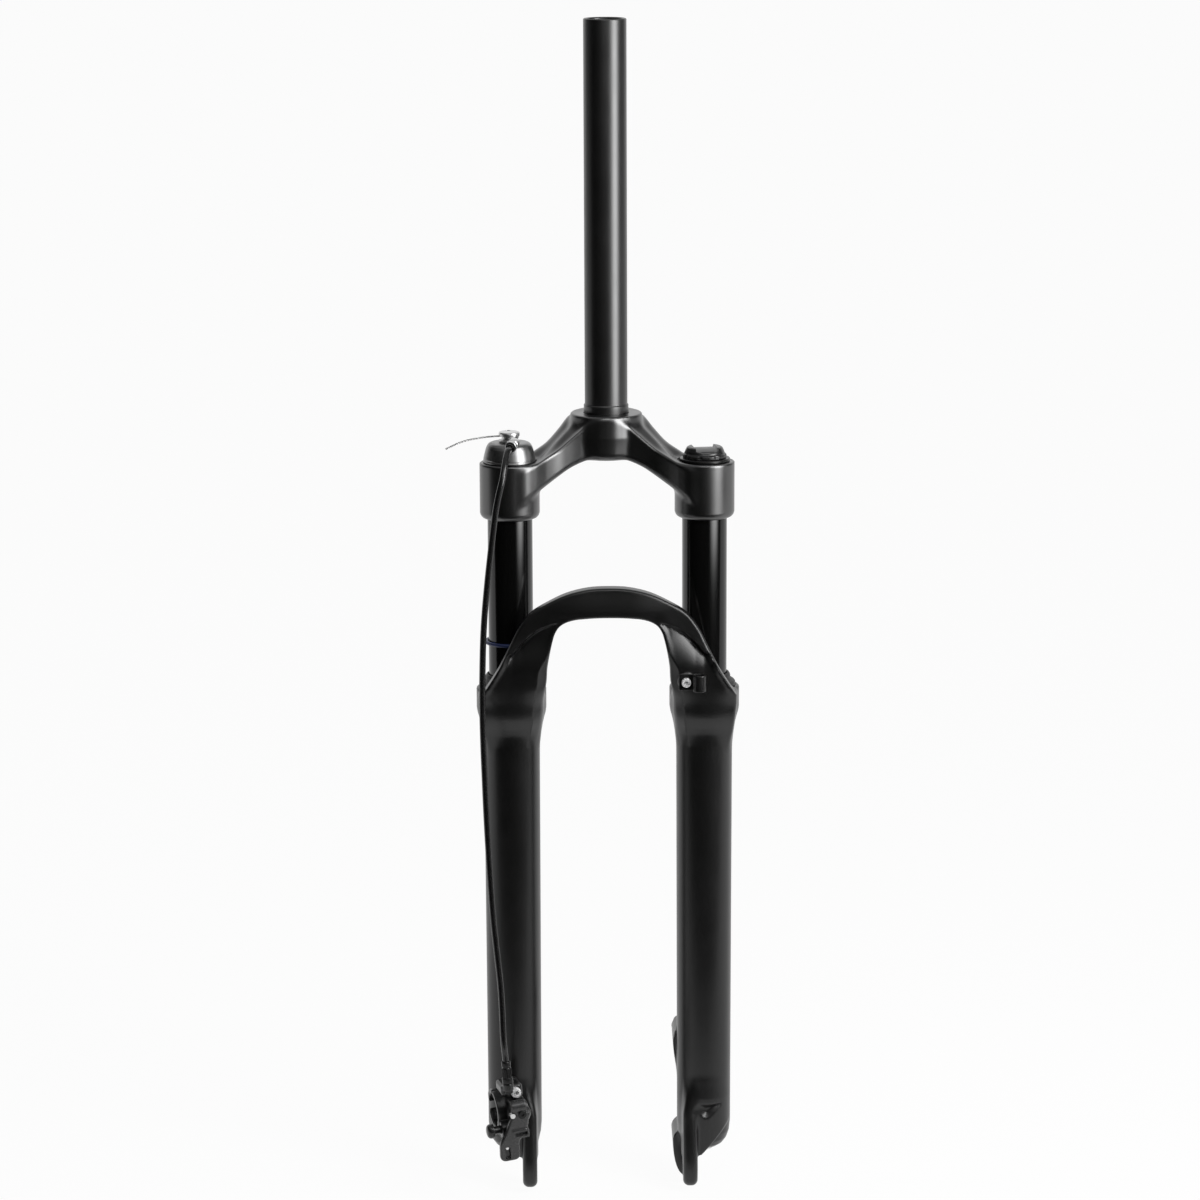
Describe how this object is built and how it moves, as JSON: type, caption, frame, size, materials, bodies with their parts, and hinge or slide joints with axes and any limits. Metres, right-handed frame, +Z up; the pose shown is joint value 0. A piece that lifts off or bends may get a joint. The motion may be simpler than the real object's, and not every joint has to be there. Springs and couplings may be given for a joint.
{
  "type": "bicycle suspension fork",
  "caption": "Telescopic bicycle fork with a straight steerer, scooped crown, hollow stanchions, one-piece lowers with a front arch, disc brake posts and a cable-worked lockout remote.",
  "frame": {"origin": "centre of the crown race seat on the steerer axis", "axes": "+Z up along the steerer, -Y ahead in the way of travel, +X to the rider's left"},
  "size_m": [0.1965, 0.1178, 0.7947],
  "materials": {
    "painted_alloy": "satin black paint",
    "stanchion_black": "gloss black hard coat",
    "cast_lowers": "matte black paint",
    "black_metal": "black anodised",
    "steel": "bright",
    "aluminium": "machined",
    "black_plastic": "moulded",
    "rubber": "matte",
    "foam": "oiled foam",
    "bronze": "bearing liner",
    "navy_rubber": "satin",
    "housing": "extruded sleeve"
  },
  "bodies": {
    "upper": {"steerer_tube": "painted_alloy", "crown": "painted_alloy", "stanchion_left": "stanchion_black", "stanchion_right": "stanchion_black", "air_top_cap": "black_metal", "air_valve": "aluminium", "air_seal_head": "aluminium", "negative_spring": "steel", "lockout_cap": "black_metal", "spool_spring": "steel", "valve_body": "aluminium", "damper_seal_head": "aluminium", "top_out_spring": "steel", "inner_wire_entry": "steel", "housing_ferrule": "black_metal", "cable_housing": "housing", "remote_body": "black_plastic", "clamp_bolt": "steel", "lever_pivot_bolt": "black_metal"},
    "lowers": {"lower_casting": "cast_lowers", "wiper_seal_left": "rubber", "wiper_seal_right": "rubber", "foam_ring_left": "foam", "foam_ring_right": "foam", "upper_bushing_left": "bronze", "upper_bushing_right": "bronze", "lower_bushing_left": "bronze", "lower_bushing_right": "bronze", "air_shaft": "steel", "air_piston": "aluminium", "air_piston_seal": "rubber", "bottom_out_bumper": "rubber", "damper_rod": "steel", "damper_piston": "aluminium", "damper_piston_band": "bronze", "foot_bolt_left": "steel", "foot_bolt_right": "steel", "foot_washer_left": "steel", "foot_washer_right": "steel", "hose_guide": "black_plastic", "hose_guide_bolt": "steel"},
    "sag_indicator": {"sag_ring": "navy_rubber"},
    "lockout": {"lockout_spool": "aluminium", "lockout_spindle": "steel", "shutter_plate": "steel", "pinch_screw": "steel", "inner_wire_tail": "steel"},
    "valve_cover": {"valve_cap": "black_plastic"},
    "thumb_lever": {"remote_lever": "black_plastic", "cable_head": "steel"},
    "release": {"release_button": "black_plastic"},
    "adjuster": {"barrel_adjuster": "black_metal"}
  },
  "joints": [
    {"name": "fork_travel", "type": "slide", "parent": "upper", "child": "lowers", "axis": [0, 0, 1], "range_m": [0, 0.1], "stiffness_N_per_m": 7000, "springref_m": -0.02},
    {"name": "sag_ring_slide", "type": "slide", "parent": "upper", "child": "sag_indicator", "axis": [0, 0, 1], "range_m": [0, 0.081]},
    {"name": "lockout_spool_turn", "type": "hinge", "parent": "upper", "child": "lockout", "pos_m": [-0.065, -0.025, -0.012], "axis": [0, 0, 1], "range_deg": [-38.75, 0], "stiffness_Nm_per_rad": 0.05, "springref_deg": 17.19},
    {"name": "valve_cap_lift", "type": "slide", "parent": "upper", "child": "valve_cover", "axis": [0, 0, 1], "range_m": [0, 0.03]},
    {"name": "thumb_lever_turn", "type": "hinge", "parent": "upper", "child": "thumb_lever", "pos_m": [-0.06023, -0.08573, -0.4639], "axis": [0.2588, -0.9659, 0], "range_deg": [0, 31]},
    {"name": "release_button_push", "type": "slide", "parent": "upper", "child": "release", "axis": [0.9623, 0.2578, 0.0872], "range_m": [0, 0.003], "stiffness_N_per_m": 300, "springref_m": -0.002},
    {"name": "barrel_turn", "type": "hinge", "parent": "upper", "child": "adjuster", "pos_m": [-0.07005, -0.08837, -0.43367], "axis": [-0.0842, -0.0226, 0.9962], "range_deg": [-360, 360]}
  ],
  "couplings": [
    {"joint": "sag_ring_slide", "follows": "fork_travel", "ratio": 0.81},
    {"joint": "thumb_lever_turn", "follows": "lockout_spool_turn", "ratio": -0.8}
  ]
}
